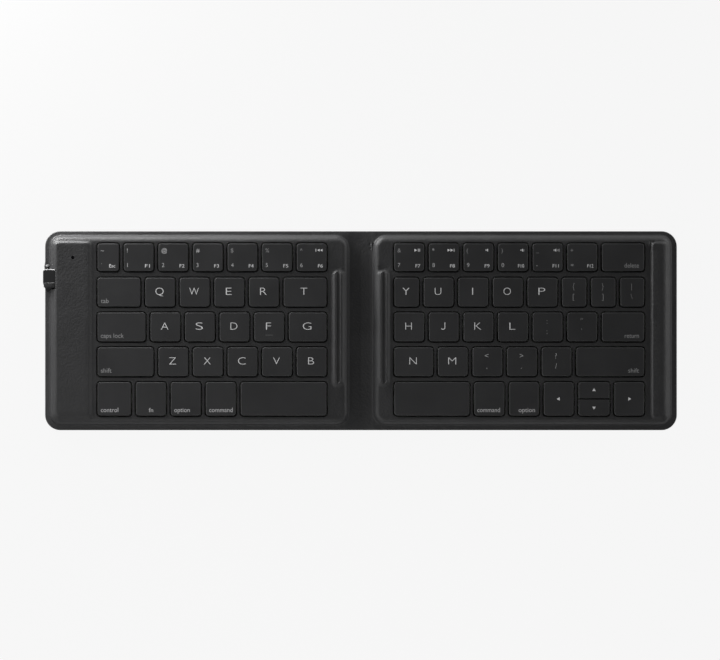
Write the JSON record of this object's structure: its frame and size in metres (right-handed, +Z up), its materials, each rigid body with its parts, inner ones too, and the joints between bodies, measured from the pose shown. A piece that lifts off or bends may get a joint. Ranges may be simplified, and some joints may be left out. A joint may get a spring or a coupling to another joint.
{
  "type": "folding keyboard",
  "caption": "Slim leather-covered keyboard in two padded halves joined by a soft spine, with low scissor keys, raised closing strips, a status light and a charging socket.",
  "frame": {"origin": "middle of the spine, on the underside", "axes": "+X towards the typist's right, +Y away from the typist, +Z up out of the keys"},
  "size_m": [0.3024, 0.095, 0.006],
  "materials": {
    "left_leather": "fine-grained, satin",
    "right_leather": "fine-grained, satin",
    "spine_leather": "fine-grained, satin",
    "cover_leather": "fine-grained, satin",
    "key_plastic": "fine matt",
    "frame_plastic": "matt",
    "plate_steel": "plain rolled sheet",
    "membrane_film": "clear film over printed tracks",
    "dome_rubber": "milky silicone",
    "lever_plastic": "moulded acetal",
    "battery_foil": "foil pouch",
    "board_green": "solder resist",
    "port_steel": "plated",
    "surround_plastic": "smooth satin",
    "light_pipe_plastic": "smoked clear",
    "magnet_metal": "nickel plated",
    "flex_film": "polyimide film"
  },
  "bodies": {
    "spine": {"spine_cover": "spine_leather", "flex_cable": "flex_film"},
    "left_half": {"left_bottom_cover": "cover_leather", "left_top_cover": "left_leather", "left_frame": "frame_plastic", "left_base_plate": "plate_steel", "left_membrane": "membrane_film", "left_domes": "dome_rubber", "left_scissors": "lever_plastic", "battery": "battery_foil", "main_board": "board_green", "charging_port": "port_steel", "port_surround": "surround_plastic", "light_pipe": "light_pipe_plastic", "left_magnets": "magnet_metal"},
    "right_half": {"right_bottom_cover": "cover_leather", "right_top_cover": "right_leather", "right_frame": "frame_plastic", "right_base_plate": "plate_steel", "right_membrane": "membrane_film", "right_domes": "dome_rubber", "right_scissors": "lever_plastic", "right_magnets": "magnet_metal"},
    "key_q": {"key_q": "key_plastic"},
    "key_w": {"key_w": "key_plastic"},
    "key_e": {"key_e": "key_plastic"},
    "key_r": {"key_r": "key_plastic"},
    "key_t": {"key_t": "key_plastic"},
    "key_a": {"key_a": "key_plastic"},
    "key_s": {"key_s": "key_plastic"},
    "key_d": {"key_d": "key_plastic"},
    "key_f": {"key_f": "key_plastic"},
    "key_g": {"key_g": "key_plastic"},
    "key_z": {"key_z": "key_plastic"},
    "key_x": {"key_x": "key_plastic"},
    "key_c": {"key_c": "key_plastic"},
    "key_v": {"key_v": "key_plastic"},
    "key_b": {"key_b": "key_plastic"},
    "left_space_bar": {"left_space_bar": "key_plastic"},
    "left_number_keys": {"left_number_keys": "key_plastic"},
    "left_modifier_keys": {"left_modifier_keys": "key_plastic"},
    "key_y": {"key_y": "key_plastic"},
    "key_u": {"key_u": "key_plastic"},
    "key_i": {"key_i": "key_plastic"},
    "key_o": {"key_o": "key_plastic"},
    "key_p": {"key_p": "key_plastic"},
    "key_h": {"key_h": "key_plastic"},
    "key_j": {"key_j": "key_plastic"},
    "key_k": {"key_k": "key_plastic"},
    "key_l": {"key_l": "key_plastic"},
    "key_n": {"key_n": "key_plastic"},
    "key_m": {"key_m": "key_plastic"},
    "right_space_bar": {"right_space_bar": "key_plastic"},
    "key_arrow_left": {"key_arrow_left": "key_plastic"},
    "key_arrow_right": {"key_arrow_right": "key_plastic"},
    "key_arrow_up": {"key_arrow_up": "key_plastic"},
    "key_arrow_down": {"key_arrow_down": "key_plastic"},
    "right_number_keys": {"right_number_keys": "key_plastic"},
    "punctuation_keys": {"punctuation_keys": "key_plastic"},
    "right_modifier_keys": {"right_modifier_keys": "key_plastic"}
  },
  "joints": [
    {"name": "left_fold", "type": "hinge", "parent": "spine", "child": "left_half", "pos_m": [-0.0054, 0, 0.0007], "axis": [0, 1, 0], "range_deg": [0, 90], "deforming": ["flex_cable"]},
    {"name": "right_fold", "type": "hinge", "parent": "spine", "child": "right_half", "pos_m": [0.0054, 0, 0.0007], "axis": [0, -1, 0], "range_deg": [0, 90], "deforming": ["flex_cable"]},
    {"name": "key_q_press", "type": "slide", "parent": "left_half", "child": "key_q", "axis": [0, 0, -1], "range_m": [0, 0.0013], "stiffness_N_per_m": 350, "springref_m": -0.0004, "deforming": ["left_domes", "left_scissors"]},
    {"name": "key_w_press", "type": "slide", "parent": "left_half", "child": "key_w", "axis": [0, 0, -1], "range_m": [0, 0.0013], "stiffness_N_per_m": 350, "springref_m": -0.0004, "deforming": ["left_domes", "left_scissors"]},
    {"name": "key_e_press", "type": "slide", "parent": "left_half", "child": "key_e", "axis": [0, 0, -1], "range_m": [0, 0.0013], "stiffness_N_per_m": 350, "springref_m": -0.0004, "deforming": ["left_domes", "left_scissors"]},
    {"name": "key_r_press", "type": "slide", "parent": "left_half", "child": "key_r", "axis": [0, 0, -1], "range_m": [0, 0.0013], "stiffness_N_per_m": 350, "springref_m": -0.0004, "deforming": ["left_domes", "left_scissors"]},
    {"name": "key_t_press", "type": "slide", "parent": "left_half", "child": "key_t", "axis": [0, 0, -1], "range_m": [0, 0.0013], "stiffness_N_per_m": 350, "springref_m": -0.0004, "deforming": ["left_domes", "left_scissors"]},
    {"name": "key_a_press", "type": "slide", "parent": "left_half", "child": "key_a", "axis": [0, 0, -1], "range_m": [0, 0.0013], "stiffness_N_per_m": 350, "springref_m": -0.0004, "deforming": ["left_domes", "left_scissors"]},
    {"name": "key_s_press", "type": "slide", "parent": "left_half", "child": "key_s", "axis": [0, 0, -1], "range_m": [0, 0.0013], "stiffness_N_per_m": 350, "springref_m": -0.0004, "deforming": ["left_domes", "left_scissors"]},
    {"name": "key_d_press", "type": "slide", "parent": "left_half", "child": "key_d", "axis": [0, 0, -1], "range_m": [0, 0.0013], "stiffness_N_per_m": 350, "springref_m": -0.0004, "deforming": ["left_domes", "left_scissors"]},
    {"name": "key_f_press", "type": "slide", "parent": "left_half", "child": "key_f", "axis": [0, 0, -1], "range_m": [0, 0.0013], "stiffness_N_per_m": 350, "springref_m": -0.0004, "deforming": ["left_domes", "left_scissors"]},
    {"name": "key_g_press", "type": "slide", "parent": "left_half", "child": "key_g", "axis": [0, 0, -1], "range_m": [0, 0.0013], "stiffness_N_per_m": 350, "springref_m": -0.0004, "deforming": ["left_domes", "left_scissors"]},
    {"name": "key_z_press", "type": "slide", "parent": "left_half", "child": "key_z", "axis": [0, 0, -1], "range_m": [0, 0.0013], "stiffness_N_per_m": 350, "springref_m": -0.0004, "deforming": ["left_domes", "left_scissors"]},
    {"name": "key_x_press", "type": "slide", "parent": "left_half", "child": "key_x", "axis": [0, 0, -1], "range_m": [0, 0.0013], "stiffness_N_per_m": 350, "springref_m": -0.0004, "deforming": ["left_domes", "left_scissors"]},
    {"name": "key_c_press", "type": "slide", "parent": "left_half", "child": "key_c", "axis": [0, 0, -1], "range_m": [0, 0.0013], "stiffness_N_per_m": 350, "springref_m": -0.0004, "deforming": ["left_domes", "left_scissors"]},
    {"name": "key_v_press", "type": "slide", "parent": "left_half", "child": "key_v", "axis": [0, 0, -1], "range_m": [0, 0.0013], "stiffness_N_per_m": 350, "springref_m": -0.0004, "deforming": ["left_domes", "left_scissors"]},
    {"name": "key_b_press", "type": "slide", "parent": "left_half", "child": "key_b", "axis": [0, 0, -1], "range_m": [0, 0.0013], "stiffness_N_per_m": 350, "springref_m": -0.0004, "deforming": ["left_domes", "left_scissors"]},
    {"name": "left_space_bar_press", "type": "slide", "parent": "left_half", "child": "left_space_bar", "axis": [0, 0, -1], "range_m": [0, 0.0013], "stiffness_N_per_m": 350, "springref_m": -0.0004, "deforming": ["left_domes", "left_scissors"]},
    {"name": "left_number_keys_press", "type": "slide", "parent": "left_half", "child": "left_number_keys", "axis": [0, 0, -1], "range_m": [0, 0.0013], "stiffness_N_per_m": 2450, "springref_m": -0.0004, "deforming": ["left_domes", "left_scissors"]},
    {"name": "left_modifier_keys_press", "type": "slide", "parent": "left_half", "child": "left_modifier_keys", "axis": [0, 0, -1], "range_m": [0, 0.0013], "stiffness_N_per_m": 2450, "springref_m": -0.0004, "deforming": ["left_domes", "left_scissors"]},
    {"name": "key_y_press", "type": "slide", "parent": "right_half", "child": "key_y", "axis": [0, 0, -1], "range_m": [0, 0.0013], "stiffness_N_per_m": 350, "springref_m": -0.0004, "deforming": ["right_domes", "right_scissors"]},
    {"name": "key_u_press", "type": "slide", "parent": "right_half", "child": "key_u", "axis": [0, 0, -1], "range_m": [0, 0.0013], "stiffness_N_per_m": 350, "springref_m": -0.0004, "deforming": ["right_domes", "right_scissors"]},
    {"name": "key_i_press", "type": "slide", "parent": "right_half", "child": "key_i", "axis": [0, 0, -1], "range_m": [0, 0.0013], "stiffness_N_per_m": 350, "springref_m": -0.0004, "deforming": ["right_domes", "right_scissors"]},
    {"name": "key_o_press", "type": "slide", "parent": "right_half", "child": "key_o", "axis": [0, 0, -1], "range_m": [0, 0.0013], "stiffness_N_per_m": 350, "springref_m": -0.0004, "deforming": ["right_domes", "right_scissors"]},
    {"name": "key_p_press", "type": "slide", "parent": "right_half", "child": "key_p", "axis": [0, 0, -1], "range_m": [0, 0.0013], "stiffness_N_per_m": 350, "springref_m": -0.0004, "deforming": ["right_domes", "right_scissors"]},
    {"name": "key_h_press", "type": "slide", "parent": "right_half", "child": "key_h", "axis": [0, 0, -1], "range_m": [0, 0.0013], "stiffness_N_per_m": 350, "springref_m": -0.0004, "deforming": ["right_domes", "right_scissors"]},
    {"name": "key_j_press", "type": "slide", "parent": "right_half", "child": "key_j", "axis": [0, 0, -1], "range_m": [0, 0.0013], "stiffness_N_per_m": 350, "springref_m": -0.0004, "deforming": ["right_domes", "right_scissors"]},
    {"name": "key_k_press", "type": "slide", "parent": "right_half", "child": "key_k", "axis": [0, 0, -1], "range_m": [0, 0.0013], "stiffness_N_per_m": 350, "springref_m": -0.0004, "deforming": ["right_domes", "right_scissors"]},
    {"name": "key_l_press", "type": "slide", "parent": "right_half", "child": "key_l", "axis": [0, 0, -1], "range_m": [0, 0.0013], "stiffness_N_per_m": 350, "springref_m": -0.0004, "deforming": ["right_domes", "right_scissors"]},
    {"name": "key_n_press", "type": "slide", "parent": "right_half", "child": "key_n", "axis": [0, 0, -1], "range_m": [0, 0.0013], "stiffness_N_per_m": 350, "springref_m": -0.0004, "deforming": ["right_domes", "right_scissors"]},
    {"name": "key_m_press", "type": "slide", "parent": "right_half", "child": "key_m", "axis": [0, 0, -1], "range_m": [0, 0.0013], "stiffness_N_per_m": 350, "springref_m": -0.0004, "deforming": ["right_domes", "right_scissors"]},
    {"name": "right_space_bar_press", "type": "slide", "parent": "right_half", "child": "right_space_bar", "axis": [0, 0, -1], "range_m": [0, 0.0013], "stiffness_N_per_m": 350, "springref_m": -0.0004, "deforming": ["right_domes", "right_scissors"]},
    {"name": "key_arrow_left_press", "type": "slide", "parent": "right_half", "child": "key_arrow_left", "axis": [0, 0, -1], "range_m": [0, 0.0013], "stiffness_N_per_m": 350, "springref_m": -0.0004, "deforming": ["right_domes", "right_scissors"]},
    {"name": "key_arrow_right_press", "type": "slide", "parent": "right_half", "child": "key_arrow_right", "axis": [0, 0, -1], "range_m": [0, 0.0013], "stiffness_N_per_m": 350, "springref_m": -0.0004, "deforming": ["right_domes", "right_scissors"]},
    {"name": "key_arrow_up_press", "type": "slide", "parent": "right_half", "child": "key_arrow_up", "axis": [0, 0, -1], "range_m": [0, 0.0013], "stiffness_N_per_m": 350, "springref_m": -0.0004, "deforming": ["right_domes", "right_scissors"]},
    {"name": "key_arrow_down_press", "type": "slide", "parent": "right_half", "child": "key_arrow_down", "axis": [0, 0, -1], "range_m": [0, 0.0013], "stiffness_N_per_m": 350, "springref_m": -0.0004, "deforming": ["right_domes", "right_scissors"]},
    {"name": "right_number_keys_press", "type": "slide", "parent": "right_half", "child": "right_number_keys", "axis": [0, 0, -1], "range_m": [0, 0.0013], "stiffness_N_per_m": 2450, "springref_m": -0.0004, "deforming": ["right_domes", "right_scissors"]},
    {"name": "punctuation_keys_press", "type": "slide", "parent": "right_half", "child": "punctuation_keys", "axis": [0, 0, -1], "range_m": [0, 0.0013], "stiffness_N_per_m": 2800, "springref_m": -0.0004, "deforming": ["right_domes", "right_scissors"]},
    {"name": "right_modifier_keys_press", "type": "slide", "parent": "right_half", "child": "right_modifier_keys", "axis": [0, 0, -1], "range_m": [0, 0.0013], "stiffness_N_per_m": 1400, "springref_m": -0.0004, "deforming": ["right_domes", "right_scissors"]}
  ],
  "couplings": [
    {"joint": "right_fold", "follows": "left_fold", "ratio": 1}
  ]
}
